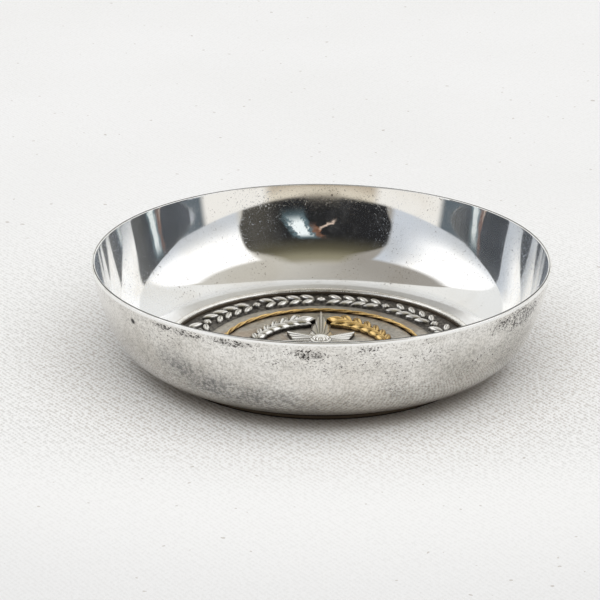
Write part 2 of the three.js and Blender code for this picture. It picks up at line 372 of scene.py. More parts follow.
WORN_SILVER, YELLOWED_SILVER = (0.92, 0.905, 0.875), (0.8, 0.775, 0.73)
GRAIN, MOTTLING, BLOOM = (0.38, 0.36, 0.33), (0.28, 0.27, 0.245), (0.48, 0.455, 0.41)
# The last colour on the next line is painted shade, low on the wall near the foot.
FAINT_STAIN, DARK_STAIN, LOWER_WALL_SHADE = (0.3, 0.3, 0.28), (0.17, 0.175, 0.175), (0.44, 0.39, 0.31)
SMUDGE, PIT, NICK_COLOR = (0.3, 0.29, 0.27), (0.025, 0.022, 0.02), (0.02, 0.018, 0.016)
CLEAN_BEARING = 4.0  # the middle of the front stretch that was wiped clean
PIT_DEPTH, GRAIN_DEPTH = 0.03 * MM, 0.0025 * MM


def tarnished_silver():
    """The outside of the dish: a worn mirror, stained grey and pitted black below its rim."""
    material, g = material_graph("tarnished_silver")
    place = g.place()
    x, y, z = g.split(place)
    bearing = g.bearing(x, y)
    edge_noise = g.times(g.minus(g.noise(place, 140, 5, 0.65), 0.5), 2.2)

    def patch(where, wander=1.0, outer=1.15, inner=0.45):
        """1 well inside a patch and 0 outside. A higher wander frays its edge more."""
        middle, height, turn_reach, height_reach = where
        turn = g.math("DIVIDE", g.minus(bearing, float(middle)), float(turn_reach))
        rise = g.math("DIVIDE", g.minus(z, height * MM), height_reach * MM)
        away = g.math("SQRT", g.plus(g.math("POWER", turn, 2.0), g.math("POWER", rise, 2.0)))
        return g.step(g.plus(away, g.times(edge_noise, wander)), outer, inner)

    def patches(places, **edges):
        total = patch(places[0], **edges)
        for where in places[1:]:
            total = g.larger(total, patch(where, **edges))
        return total

    grain = g.noise(place, 2300, 2, 0.6)
    flecks = g.noise(place, 1350, 3, 0.75)
    cloud = g.noise(place, 75, 5, 0.62)
    color = g.mix(g.step(cloud, 0.35, 0.7), WORN_SILVER, YELLOWED_SILVER)
    color = g.tint(color, GRAIN, g.step(grain, 0.48, 0.62), 0.5)
    # The front was wiped clean near the rim, and the rest has a grey bloom.
    turned = g.unsigned(g.minus(bearing, CLEAN_BEARING))
    bloom = g.times(g.step(turned, 6, 30), g.step(z, 21 * MM, 13 * MM))
    bloom = g.larger(bloom, g.step(z, 14 * MM, 8 * MM))
    bloom = g.times(bloom, g.scale(g.step(cloud, 0.3, 0.7), 0.55, 1.0))
    color = g.tint(color, BLOOM, bloom, 0.6)
    mottled = g.times(g.step(flecks, 0.48, 0.62), g.scale(bloom, 0.3, 1.0))
    color = g.tint(color, MOTTLING, mottled, 0.58)
    faint = patches(FAINT_PATCHES, wander=1.2, outer=1.6, inner=0.0)
    faint = g.times(faint, g.scale(g.step(flecks, 0.4, 0.6), 0.35, 1.0))
    color = g.tint(color, FAINT_STAIN, faint, 0.42)
    stain = patches(STAIN_PATCHES, wander=1.2, outer=1.7, inner=-0.2)
    stain = g.times(stain, g.scale(g.step(flecks, 0.36, 0.6), 0.3, 1.0))
    color = g.tint(color, DARK_STAIN, stain, 0.85)
    # Painted shade: the wall darkens and browns towards the foot.
    low = g.times(g.step(z, 9 * MM, 3 * MM), g.scale(cloud, 0.2, 0.9))
    color = g.tint(color, LOWER_WALL_SHADE, low, 0.7)
    # The pits crowd together in the patches, and a thin belt of them runs right round the dish.
    flakes = g.noise(g.stretch(place, (1, 1, 1.3)), 1700, 4, 0.8)
    belt = g.times(g.between(z, 20.5 * MM, 22.6 * MM, 1.5 * MM), cloud)
    sparse = g.times(patches(SPARSE_PATCHES), 0.45)
    crowd = g.larger(patches(OXIDE_PATCHES), sparse)
    crowd = g.larger(crowd, g.times(belt, 0.7))
    crowded = g.plus(flakes, g.times(crowd, 0.14))
    pits = g.times(g.step(crowded, 0.64, 0.7), g.step(crowd, 0.02, 0.25))
    smudge = g.times(crowd, g.step(g.noise(place, 420, 4, 0.7), 0.4, 0.75))
    color = g.tint(color, SMUDGE, smudge, 0.5)
    color = g.tint(color, PIT, pits, 0.97)
    nick = patch(NICK, wander=0.1)
    color = g.mix(nick, color, NICK_COLOR)
    # Handling has worn the last half-millimetre below the rim bright.
    worn = g.step(z, RIM_HEIGHT - 0.9 * MM, RIM_HEIGHT - 0.5 * MM)
    color = g.mix(worn, color, SILVER)
    rough = g.scale(g.plus(g.times(grain, 0.4), cloud), 0.05, 0.16)
    rough = g.plus(rough, g.times(g.larger(pits, stain), 0.22))
    rough = g.minus(rough, g.times(worn, 0.08), clamp=True)
    # Lower down the plate is smoother, and the cloth's ribs show in it.
    clear = g.step(z, 15 * MM, 9 * MM)
    rough = g.times(rough, g.scale(clear, 1.0, 0.35))
    normal = g.bump(g.times(grain, g.scale(clear, 1.0, 0.15)), GRAIN_DEPTH)
    normal = g.bump(g.larger(pits, nick), -PIT_DEPTH, normal=normal)
    metal_output(g, color, rough, normal)
    return material


SCUFFED_SILVER = (0.72, 0.7, 0.66)
# The rim's painted dark line, a reflection of the dark room painted into its flat top: half its
# width at the sides and at the front and back, and how far its middle lies inside the rim's edge at
# the front and at the back.
REFLECTION_HALF = (0.04 * MM, 0.34 * MM)
REFLECTION_INSET = (0.67 * MM, 0.34 * MM)
REFLECTION_SOFT = 0.04 * MM


def bright_rim():
    """The top of the rim: bright and worn, with a painted dark line standing in for the dark room's
    reflection in it.

    The line is thin at the sides and broader at the front and back. It lies nearer the outer
    edge at the back.
    """
    material, g = material_graph("bright_rim")
    place = g.place()
    x, y = g.split(place)[:2]
    wear = g.noise(place, 300, 4, 0.6)
    color = g.mix(g.step(wear, 0.45, 0.75), SILVER, SCUFFED_SILVER)
    half = g.scale(g.math("DIVIDE", g.unsigned(y), RIM_RADIUS), *REFLECTION_HALF)
    backward = g.math("MULTIPLY_ADD", y, 0.5 / RIM_RADIUS, 0.5)
    middle = g.minus(RIM_RADIUS, g.scale(backward, *REFLECTION_INSET))
    away = g.unsigned(g.minus(g.distance(x, y), middle))
    # The line is a painted dark reflection of the room in the rim's flat top.
    line = g.step(g.minus(away, half), REFLECTION_SOFT, -REFLECTION_SOFT)
    line = g.times(line, g.scale(wear, 0.8, 1.3), clamp=True)
    color = g.mix(line, color, RIM_DARK_REFLECTION)
    metal_output(g, color, g.scale(wear, 0.08, 0.24), g.bump(wear, 0.01 * MM))
    return material


BEAD_BRIGHT, BEAD_SCUFFED, BEAD_GRIME = (0.95, 0.94, 0.91), (0.76, 0.73, 0.67), (0.3, 0.23, 0.16)
# The foot's colours are painted shade, and the darker one is painted shade lines at its ends.
FOOT_SHADE, FOOT_SHADE_LINE = (0.15, 0.12, 0.085), (0.03, 0.024, 0.018)


def mount_silver():
    """The mount ring: its bead is bright, grime lies along its lower edges, and its foot is painted
    dark as shade.
    """
    material, g = material_graph("mount_silver")
    place = g.place()
    z = g.split(place)[2]
    wear = g.noise(place, 500, 4, 0.65)
    color = g.mix(g.step(wear, 0.4, 0.75), BEAD_BRIGHT, BEAD_SCUFFED)
    brown = g.step(z, BEAD_BASE + 0.22 * MM, BEAD_BASE + 0.02 * MM)
    color = g.tint(color, BEAD_GRIME, brown, 0.9)
    # The foot under the dish is painted dark as shade, and darkest in painted shade lines where it
    # meets the dish and the table.
    dull = g.step(z, FLOOR_BOTTOM + 0.3 * MM, FLOOR_BOTTOM)
    shade_lines = g.larger(g.step(z, 0.4 * MM, 0.2 * MM), g.step(z, 0.75 * MM, 0.95 * MM))
    color = g.tint(color, FOOT_SHADE, dull, 0.85)
    color = g.mix(g.times(dull, shade_lines), color, FOOT_SHADE_LINE)
    rough = g.scale(g.plus(g.times(wear, 0.3), brown), 0.24, 0.45)
    metal_output(g, color, rough, g.bump(wear, 0.008 * MM))
    return material


FIELD_LIGHT, FIELD_DARK = (0.66, 0.63, 0.57), (0.42, 0.39, 0.34)
FIELD_CLOUD, FIELD_STAIN = (0.36, 0.34, 0.31), (0.4, 0.27, 0.17)
SUNK_DARK, SUNK_LIGHT = (0.07, 0.065, 0.06), (0.3, 0.28, 0.25)
RUBBED_SILVER, CREASE = (0.92, 0.905, 0.87), (0.05, 0.045, 0.04)
CREASE_REACH = 1.3 * MM


def medal_silver():
    """Oxidised silver: black in the hollows and rubbed bright on the tops of the relief."""
    material, g = material_graph("antique_silver")
    place = g.place()
    x, y, z = g.split(place)
    mottle = g.noise(place, 900, 5, 0.7)
    cloud = g.noise(place, 150, 4, 0.6)
    stain = g.step(g.noise(place, 110, 4, 0.6, 0.6), 0.5, 0.66)
    band = g.step(g.distance(x, y), FIELD_RADIUS - 0.2 * MM, BAND_INNER + 0.3 * MM)
    field = g.mix(g.step(mottle, 0.35, 0.7), FIELD_LIGHT, FIELD_DARK)
    field = g.tint(field, FIELD_CLOUD, g.step(cloud, 0.4, 0.7), 0.5)
    field = g.tint(field, FIELD_STAIN, stain, 0.5)
    sunk = g.mix(g.step(mottle, 0.45, 0.65), SUNK_DARK, SUNK_LIGHT)
    color = g.mix(band, field, sunk)
    height = g.plus(z, g.times(mottle, 0.3 * MM))
    tops = g.step(height, BAND_HEIGHT + 0.4 * MM, BAND_HEIGHT + 0.7 * MM)
    tops = g.times(tops, band)
    color = g.mix(tops, color, RUBBED_SILVER)
    color = g.mix(g.step(g.open(CREASE_REACH), 0.9, 0.45), color, CREASE)
    rough = g.minus(g.scale(mottle, 0.28, 0.5), g.times(tops, 0.2))
    metal_output(g, color, rough, g.bump(mottle, 0.02 * MM))
    return material


RELIEF_CREASE_REACH = 0.7 * MM
RELIEF_FRAY = 0.9 * MM  # the dark foot's edge wanders up and down by up to half of this


def relief_metal(name, bright, dark, floor, ceiling):
    """Metal for an applied piece: dark at its foot and rubbed bright towards its top."""
    material, g = material_graph(name)
    place = g.place()
    z = g.split(place)[2]
    mottle = g.noise(place, 1300, 5, 0.7)
    height = g.plus(z, g.times(g.minus(mottle, 0.5), RELIEF_FRAY))
    tops = g.step(height, floor, ceiling)
    tops = g.times(tops, g.step(g.open(RELIEF_CREASE_REACH), 0.45, 0.85))
    # Only the star carries this attribute, and elsewhere it reads as nought.
    furrow = g.node("ShaderNodeAttribute", output=2, attribute_name=FURROW)
    tops = g.times(tops, g.step(furrow, 0.98, 0.62))
    color = g.mix(tops, dark, bright)
    rough = g.minus(g.scale(mottle, 0.28, 0.48), g.times(tops, 0.18))
    metal_output(g, color, rough, g.bump(mottle, 0.02 * MM))
    return material


BRASS, DULL_BRASS = (0.66, 0.5, 0.26), (0.36, 0.25, 0.14)
TURNING_PITCH = 0.5 * MM


def plain_brass():
    """The base plate: turned brass, dull with age."""
    material, g = material_graph("plain_brass")
    place = g.place()
    x, y = g.split(place)[:2]
    turning = g.math("SINE", g.times(g.distance(x, y), TAU / TURNING_PITCH))
    cloud = g.noise(place, 90, 5, 0.6)
    color = g.mix(g.step(cloud, 0.35, 0.7), BRASS, DULL_BRASS)
    metal_output(g, color, g.scale(cloud, 0.28, 0.55), g.bump(turning, 0.008 * MM))
    return material


# The cloth's threads lean two ways. Each set repeats at one pitch across and another along.
RIB_ACROSS, RIB_ALONG = 1.25 * MM, 1.75 * MM
CROSS_ACROSS, CROSS_ALONG = 1.3 * MM, -1.6 * MM
CLOTH_PALE, CLOTH_GREY = (0.845, 0.845, 0.85), (0.815, 0.815, 0.815)
# The front colour is painted shade, and the near colour is painted light round the dish.
CLOTH_FRONT_SHADE, CLOTH_NEAR_LIGHT = (0.785, 0.785, 0.79), (0.88, 0.88, 0.88)
# The second gap colour is painted shade near the dish, and the browned colour is a painted contact
# shadow round the foot.
GAP, SHADED_GAP = (0.5, 0.49, 0.47), (0.4, 0.34, 0.29)
CLOTH_CONTACT_SHADOW, CLOTH_FLECK = (0.3, 0.25, 0.2), (0.36, 0.31, 0.26)
CLOTH_RELIEF = 0.3 * MM


def canvas():
    """The pale cloth under the dish: a close weave of uneven threads."""
    material, g = material_graph("canvas")
    place = g.place()
    x, y = g.split(place)[:2]
    wobble = g.times(g.noise(place, 110, 4, 0.7), 11.0)

    def ribs(across, along):
        phase = g.times(x, TAU / across)
        phase = g.plus(phase, g.times(y, TAU / along))
        return g.math("SINE", g.plus(phase, wobble))

    threads = g.noise(g.stretch(place, (1, 0.45, 1)), 1250, 2, 0.7)
    weave = g.times(ribs(RIB_ACROSS, RIB_ALONG), 0.12)
    weave = g.plus(weave, g.times(ribs(CROSS_ACROSS, CROSS_ALONG), 0.06))
    height = g.plus(weave, threads)
    gaps = g.step(height, 0.58, 0.28)
    # The weave is clearest round the dish and fades into the nap further out.
    distance = g.distance(x, y)
    clear = g.times(g.step(distance, 130 * MM, 50 * MM), g.step(y, -80 * MM, -35 * MM))
    clear = g.scale(clear, 0.22, 1.0)
    tone = g.step(g.noise(place, 9, 3, 0.5), 0.3, 0.7)
    color = g.mix(tone, CLOTH_PALE, CLOTH_GREY)
    # Painted shade: the cloth darkens towards the front.
    color = g.mix(g.step(y, -60 * MM, -120 * MM), color, CLOTH_FRONT_SHADE)
    # Painted light: the cloth is paler round the dish.
    color = g.mix(g.step(distance, 130 * MM, 60 * MM), color, CLOTH_NEAR_LIGHT)
    # Painted shade: the weave's gaps turn warm brown near the dish.
    gap = g.mix(g.step(distance, 75 * MM, 50 * MM), GAP, SHADED_GAP)
    color = g.tint(color, gap, gaps, g.times(clear, 0.55))
    # A painted brown contact shadow lies where the foot stands.
    color = g.tint(color, CLOTH_CONTACT_SHADOW, g.step(distance, 43 * MM, 36 * MM), 0.6)
    fleck = g.step(g.noise(place, 520, 1, 0.3), 0.765, 0.79)
    color = g.tint(color, CLOTH_FLECK, fleck, 0.5)
    normal = g.bump(g.times(height, clear), CLOTH_RELIEF)
    g.surface(g.metal(color, 0.95, normal, metallic=0.0))
    return material


# ---------------------------------------------------------------- bowl

FLOOR_SLOPE = math.radians(13.5)
RIM_SLOPE = math.radians(78)
FLOOR_REACH = 10.5 * MM
RIM_REACH = 14.75 * MM
OPENING_RADIUS = FOOT_RADIUS + SLIP
WALL_STEPS, BOWL_TURNS = 72, 384
OUTER_ROUND, INNER_ROUND, ROUND_STEPS = 0.22 * MM, 0.1 * MM, 5


def wall_curve():
    """The outside of the wall from its opening to the rim, as (point, direction) pairs."""
    start = Vector((OPENING_RADIUS, FLOOR_BOTTOM))
    end = Vector((RIM_RADIUS, RIM_HEIGHT))
    after = start + FLOOR_REACH * Vector((math.cos(FLOOR_SLOPE), math.sin(FLOOR_SLOPE)))
    before = end - RIM_REACH * Vector((math.cos(RIM_SLOPE), math.sin(RIM_SLOPE)))
    found = []
    for i in range(WALL_STEPS + 1):
        t = i / WALL_STEPS
        s = 1 - t
        point = s**3 * start + 3 * s * s * t * after + 3 * s * t * t * before + t**3 * end
        way = s * s * (after - start) + 2 * s * t * (before - after) + t * t * (end - before)
        found.append((point, way.normalized()))
    return found


def trim(points, radius):
    """Stops a wall short of the rim. Gives what is left of it, and the (radius, height) there."""
    stop = RIM_HEIGHT - radius
    reach = float(np.interp(stop, [z for r, z in points], [r for r, z in points]))
    return [p for p in points if p[1] < stop - radius / 2], (reach, stop)


def build_bowl():
    curve = wall_curve()
    outside = [(point.x, point.y) for point, way in curve]
    inside = [(point.x - way.y * WALL, point.y + way.x * WALL) for point, way in curve]
    inside[0] = (OPENING_RADIUS, inside[0][1])
    # A small round leads from each wall to the rim's flat top.
    outside, (reach, stop) = trim(outside, OUTER_ROUND)
    outer_round = arc((reach - OUTER_ROUND, stop), OUTER_ROUND, 0, 90, ROUND_STEPS)
    inside, (reach, stop) = trim(inside, INNER_ROUND)
    inner_round = arc((reach + INNER_ROUND, stop), INNER_ROUND, 90, 180, ROUND_STEPS)
    # The rim's own material starts and ends part of the way round these.
    rim_start = len(outside) + 2
    rim_end = len(outside) + len(outer_round) + 3

    def material_of(stretch):
        if stretch < rim_start:
            return 0
        return 1 if stretch < rim_end else 2

    profile = outside + outer_round + inner_round + inside[::-1]
    bowl = smooth(lathe("bowl", profile, BOWL_TURNS, material_of), 35)
    skins = [tarnished_silver(), bright_rim(), polished_silver()]
    finish_piece(bowl, "polished_silver", skins, "bowl_shell")


# ---------------------------------------------------------------- mount ring and base plate

LIP_RADIUS = 33.75 * MM
LEDGE_RADIUS = 32.4 * MM
BEAD_BASE = 2.5 * MM
BEAD_SPRING = 2.7 * MM
FOOT_EASE = 0.25 * MM


def build_mount():
    seat = MEDAL_RADIUS + SLIP
    middle, half = (BEAD_RADIUS + LIP_RADIUS) / 2, (BEAD_RADIUS - LIP_RADIUS) / 2
    rise = BEAD_TOP - BEAD_SPRING
    bead = [(middle + half * x, BEAD_SPRING + rise * y) for x, y in arc((0, 0), 1, 0, 180, 16)]
    profile = [
        (LEDGE_RADIUS, 0),
        *arc((FOOT_RADIUS - FOOT_EASE, FOOT_EASE), FOOT_EASE, -90, 0, 5),
        (FOOT_RADIUS, BEAD_BASE),
        (BEAD_RADIUS, BEAD_BASE),
        *bead,
        (LIP_RADIUS, BAND_HEIGHT + SLIP),
        (seat, BAND_HEIGHT + SLIP),
        (seat, MEDAL_BOTTOM),
        (LEDGE_RADIUS, MEDAL_BOTTOM),
    ]
    mount = smooth(lathe("mount", profile))
    finish_piece(mount, "polished_silver", [mount_silver()], "mount_ring")


def build_base_plate():
    edge = plate_high.x
    ease = 0.12 * MM
    profile = [
        (0, plate_low.z),
        (edge - ease, plate_low.z),
        (edge, plate_low.z + ease),
        (edge, plate_high.z),
        (0, plate_high.z),
    ]
    plate = smooth(lathe("base_plate_visual", profile))
    finish_piece(plate, "plain_brass", [plain_brass()], "base_plate")


# ---------------------------------------------------------------- medal

BAND_INNER = 25.9 * MM
FIELD_RADIUS = 25.6 * MM
GARLAND_RADIUS = 29.4 * MM
GARLAND_UNITS = 60
UNITS_PER_BINDING = 5
GARLAND_LEAF = (4.2 * MM, 1.65 * MM, 0.85 * MM)
GARLAND_SPREAD = 1.35 * MM
GARLAND_TILT = math.radians(32)
GARLAND_RIB_DEPTH, GARLAND_RIB_WIDTH = 0.28, 0.16  # shares of a leaf's rise and half-width
BINDING_REACH = 1.15 * MM
BINDING_PETALS, PETAL_DEPTH = 4, 0.14
DIMPLE_DEPTH, DIMPLE_RADIUS = 0.4, 0.3 * MM
FLUTES, FLUTE_DEPTH = 150, 0.05 * MM
FLUTE_START, FLUTE_END = 4 * MM, 21 * MM
MEDAL_TURNS = 900
FIELD_RINGS, BAND_RINGS = 34, 58


def garland_height(radius, turn):
    """Height of the garland above the band, at points given in polar arrays."""
    length, width, rise = GARLAND_LEAF
    unit = TAU / GARLAND_UNITS
    nearest = np.round(turn / unit)
    height = np.zeros_like(radius)
    for neighbour in (-1, 0, 1):
        number = nearest + neighbour
        offset = turn - number * unit
        out = radius * np.cos(offset) - GARLAND_RADIUS
        along = radius * np.sin(offset)
        bound = number % UNITS_PER_BINDING == 0
        for side in (-1, 1):
            lean = math.pi / 2 - side * GARLAND_TILT
            u, v = out - side * GARLAND_SPREAD, along
            a = (u * math.cos(lean) + v * math.sin(lean)) / (length / 2)
            b = (v * math.cos(lean) - u * math.sin(lean)) / (width / 2)
            taper = np.clip(1 - a * a, 0, 1) ** 0.75 + 1e-9
            crown = np.sqrt(np.clip(1 - (b / taper) ** 2, 0, 1)) * taper**0.5
            rib = 1 - GARLAND_RIB_DEPTH * np.exp(-((b / GARLAND_RIB_WIDTH) ** 2))
            height = np.maximum(height, np.where(bound, 0, rise * crown * rib))
        reach = np.hypot(out, along)
        wave = PETAL_DEPTH * np.cos(BINDING_PETALS * np.arctan2(along, out))
        petals = BINDING_REACH * (1 - PETAL_DEPTH + wave)
        knob = np.sqrt(np.clip(1 - (reach / petals) ** 2, 0, 1))
        knob *= 1 - DIMPLE_DEPTH * np.exp(-((reach / DIMPLE_RADIUS) ** 2))
        height = np.maximum(height, np.where(bound, rise * knob, 0))
    return height


def flute_height(radius, turn):
    """Fine rays struck in the field, from near the star out to the rope ring."""
    fade_in = np.clip((radius - FLUTE_START) / (3 * MM), 0, 1)
    fade_out = np.clip((FLUTE_END - radius) / MM, 0, 1)
    return -FLUTE_DEPTH * fade_in * fade_out * (0.5 + 0.5 * np.cos(turn * FLUTES))


def build_medal():
    edge = MEDAL_RADIUS
    radii = np.concatenate(
        [
            np.linspace(0.3 * MM, FIELD_RADIUS, FIELD_RINGS),
            np.linspace(BAND_INNER, LIP_RADIUS, BAND_RINGS),
            [edge],
        ]
    )
    turns = np.arange(MEDAL_TURNS) * TAU / MEDAL_TURNS
    radius, turn = np.meshgrid(radii, turns, indexing="ij")
    height = np.where(
        radius <= FIELD_RADIUS + 1e-7,
        FIELD_HEIGHT + flute_height(radius, turn),
        BAND_HEIGHT + garland_height(radius, turn),
    )
    top = np.stack([radius * np.cos(turn), radius * np.sin(turn), height], -1).reshape(-1, 3)
    under = np.stack(
        [edge * np.cos(turns), edge * np.sin(turns), np.full(MEDAL_TURNS, MEDAL_BOTTOM)], -1
    )
    centres = np.array([[0, 0, FIELD_HEIGHT], [0, 0, MEDAL_BOTTOM]])
    points = np.concatenate([top, under, centres])
    count, rows = MEDAL_TURNS, len(radii) + 1
    low = np.arange(rows - 1)[:, None] * count
    here, after = np.arange(count)[None, :], (np.arange(count)[None, :] + 1) % count
    quads = np.stack([low + here, low + count + here, low + count + after, low + after], -1)
    top_centre, bottom_centre = len(points) - 2, len(points) - 1
    faces = quads.reshape(-1, 4).tolist()
    last = (rows - 1) * count
    for i in range(count):
        j = (i + 1) % count
        faces.append([top_centre, i, j])
        faces.append([bottom_centre, last + j, last + i])
    mesh = bpy.data.meshes.new("medal")
    mesh.from_pydata(points.tolist(), [], faces)
    medal = smooth(link("medal", mesh), 60)
    finish_piece(medal, "antique_silver", [medal_silver()], "medal_disc")


# ---------------------------------------------------------------- emblem


def around(radius, degrees, height=0.0):
    angle = math.radians(degrees)
    return Vector((radius * math.cos(angle), radius * math.sin(angle), height))


STAR_POINTS = 8
STAR_SHORT_REACH = 10.6 * MM
STAR_NOTCH = 6.4 * MM
STAR_EDGE = FIELD_HEIGHT + 0.9 * MM
SEAT_RADIUS = 2.4 * MM
RAYS_PER_FACET = 3
RAY_DEPTH = 0.17 * MM
FURROW = "furrow"  # an attribute: 1 along each furrow and 0 along each ray's ridge


def build_star():
    """An eight-pointed star. Each facet of its roof is cut into rays with a furrow between them."""
    bm = bmesh.new()
    furrow = bm.verts.layers.float.new(FURROW)
    outline, edge, seat = [], [], []
    steps = 2 * RAYS_PER_FACET
    for i in range(STAR_POINTS * 2):
        corners = []
        for k in (i, i + 1):
            degrees = 180 * k / STAR_POINTS
            point_reach = STAR_SHORT_REACH if k % 4 else star_high.x
            corners.append(around(STAR_NOTCH if k % 2 else point_reach, degrees))
        for k in range(steps):
            place = corners[0].lerp(corners[1], k / steps)
            depth = RAY_DEPTH if k % 2 else 0
            outline.append(bm.verts.new(place + Vector((0, 0, FIELD_HEIGHT))))
            edge.append(bm.verts.new(place + Vector((0, 0, STAR_EDGE - depth))))
            degrees = 180 * (i + k / steps) / STAR_POINTS
            seat.append(bm.verts.new(around(SEAT_RADIUS, degrees, star_high.z - depth / 3)))
            edge[-1][furrow] = seat[-1][furrow] = k % 2
    for low, high in ((outline, edge), (edge, seat)):
        for i in range(len(low)):
            j = (i + 1) % len(low)
            bm.faces.new([low[i], low[j], high[j], high[i]])
    top, bottom = bm.verts.new((0, 0, star_high.z)), bm.verts.new((0, 0, FIELD_HEIGHT))
    for i in range(len(seat)):
        j = (i + 1) % len(seat)
        bm.faces.new([seat[i], seat[j], top])
        bm.faces.new([outline[j], outline[i], bottom])
    star = smooth(from_bmesh("star", bm), 12)
    finish_piece(star, "worn_silver", [star_silver], "compass_star")


RIVET_RADIUS = 2.3 * MM
SHANK_RADIUS, SHANK_DEPTH = 0.5 * MM, 1.5 * MM
COLLAR_RISE = 0.3  # the collar under the dome, as a share of the head's rise
SCALLOPS, SCALLOP_DEPTH = 10, 0.16


def build_rivet():
    """A domed boss with scallops round it, on a plain shank."""
    radius, seat, top = RIVET_RADIUS, star_high.z, rivet_high.z
    rise = top - seat
    shank = [(0, seat - SHANK_DEPTH), (SHANK_RADIUS, seat - SHANK_DEPTH), (SHANK_RADIUS, seat)]
    collar = [
        (radius, seat),
        (radius, seat + 0.22 * rise),
        (0.93 * radius, seat + COLLAR_RISE * rise),
    ]
    dome = [
        (0.84 * radius * x, seat + rise * (COLLAR_RISE + (1 - COLLAR_RISE) * y))
        for x, y in arc((0, 0), 1, 0, 90, 14)[:-1]
    ]
    profile = [*shank, *collar, *dome, (0, top)]
    rivet = lathe("rivet", profile, 120)
    for vert in rivet.data.vertices:
        out = math.hypot(vert.co.x, vert.co.y)
        if vert.co.z > seat + 0.25 * rise and out > 0:
            turn = math.atan2(vert.co.y, vert.co.x)
            wave = abs(math.sin(SCALLOPS / 2 * turn)) ** 3
            scallop = 1 - SCALLOP_DEPTH * wave * out / radius
            vert.co.x *= scallop
            vert.co.y *= scallop
    smooth(rivet)
    finish_piece(rivet, "worn_silver", [star_silver], "centre_rivet")


ROPE_RADIUS = 22 * MM
ROPE_THICKNESS = 0.49 * MM
ROPE_CENTRE = FIELD_HEIGHT + 0.3 * MM
ROPE_LAY = 36  # how many times a strand comes over the top, all round the ring
STRANDS = 3
STRAND_OFFSET = 0.52  # from the rope's middle to a strand's, as a share of the rope's radius


def build_rope():
    """A laid rope: its section is the outline of three round strands, turning along the ring."""
    rings, sides = ROPE_LAY * 16, 30
    offset, strand = STRAND_OFFSET, 1 - STRAND_OFFSET
    verts, faces = [], []
    for i in range(rings):
        bearing = TAU * i / rings
        for j in range(sides):
            angle = TAU * j / sides
            local = (angle * STRANDS - ROPE_LAY * bearing) % TAU
            gap = min(local, TAU - local) / STRANDS
            shape = offset * math.cos(gap) + math.sqrt(strand**2 - (offset * math.sin(gap)) ** 2)
            reach = ROPE_RADIUS + ROPE_THICKNESS * shape * math.cos(angle)
            height = max(ROPE_CENTRE + ROPE_THICKNESS * shape * math.sin(angle), FIELD_HEIGHT)
            verts.append((reach * math.cos(bearing), reach * math.sin(bearing), height))
            k, m = (i + 1) % rings, (j + 1) % sides
            faces.append((i * sides + j, k * sides + j, k * sides + m, i * sides + m))
    mesh = bpy.data.meshes.new("rope")
    mesh.from_pydata(verts, [], faces)
    rope = smooth(link("rope", mesh), 80)
    finish_piece(rope, "gilt", [gilt], "rope_ring")


SPRIG_RADIUS = 14.8 * MM
SPRIG_BUTT = 11
SPRIG_TIP = 68
LEAF_PAIRS = 6
SPRIG_LEAF = (5.2 * MM, 2.3 * MM, 1.7 * MM)
BUTT_LEAF_SCALE = 0.6
LEAF_ANGLE = 36
LEAF_ROOT = 0.38
STEM_WIDTH = 0.9 * MM
STEM_RISE = 1.1 * MM
KNOT_RADIUS, KNOT_HEIGHT = 0.88 * MM, 0.15 * MM
LEAF_RIB_DEPTH, LEAF_RIB_WIDTH = 0.4, 0.22  # shares of the crown's height and the half-width
LEAF_EDGE_HEIGHT = 0.3  # the sheer edge, as a share of the leaf's rise


def add_leaf(bm, centre, degrees, scale):
    """One pointed leaf with a sunk midrib, crowned between its rib and its sheer edges."""
    length, width, rise = (scale * size for size in SPRIG_LEAF)
    steps, sides = 12, 8
    turn = Matrix.Rotation(math.radians(degrees), 4, "Z")
    place = Matrix.Translation(centre) @ turn @ Matrix.Translation((length * LEAF_ROOT, 0, 0))
    top, under = [], []
    for i in range(steps + 1):
        s = i / steps
        half = width / 2 * max(math.sin(math.pi * s**0.9) ** 0.8, 0.04)
        swell = max(math.sin(math.pi * s), 0.05) ** 0.6
        upper, lower = [], []
        for j in range(sides + 1):
            t = -1 + 2 * j / sides
            rib = LEAF_RIB_DEPTH * math.exp(-((t / LEAF_RIB_WIDTH) ** 2))
            crown = (1 - t**4) * (1 - rib)
            height = rise * (LEAF_EDGE_HEIGHT + 0.62 * swell * crown + 0.08 * s)
            x, y = (s - 0.5) * length, t * half
            upper.append(bm.verts.new(place @ Vector((x, y, height))))
            lower.append(bm.verts.new(place @ Vector((x, y, 0))))
        top.append(upper)
        under.append(lower)
    for i in range(steps):
        for j in range(sides):
            bm.faces.new([top[i][j], top[i + 1][j], top[i + 1][j + 1], top[i][j + 1]])
            bm.faces.new([under[i][j], under[i][j + 1], under[i + 1][j + 1], under[i + 1][j]])
        for j in (0, sides):
            bm.faces.new([top[i][j], under[i][j], under[i + 1][j], top[i + 1][j]])
    for i in (0, steps):
        for j in range(sides):
            bm.faces.new([top[i][j], top[i][j + 1], under[i][j + 1], under[i][j]])


def add_stem(bm):
    """The stem: a half-round bar along the sprig's circle."""
    steps, sides = 28, 8
    rings = []
    for i in range(steps + 1):
        bearing = SPRIG_BUTT + (SPRIG_TIP - SPRIG_BUTT) * i / steps
        taper = 1 - 0.35 * i / steps
        ring = []
        for j in range(sides + 1):
            angle = math.pi * j / sides
            reach = SPRIG_RADIUS + STEM_WIDTH / 2 * taper * math.cos(angle)
            ring.append(bm.verts.new(around(reach, bearing, STEM_RISE * taper * math.sin(angle))))
        rings.append(ring)
    for low, high in zip(rings, rings[1:]):
        for j in range(sides):
            bm.faces.new([low[j], low[j + 1], high[j + 1], high[j]])
        bm.faces.new([low[sides], low[0], high[0], high[sides]])
    bm.faces.new(rings[0])
    bm.faces.new(rings[-1][::-1])


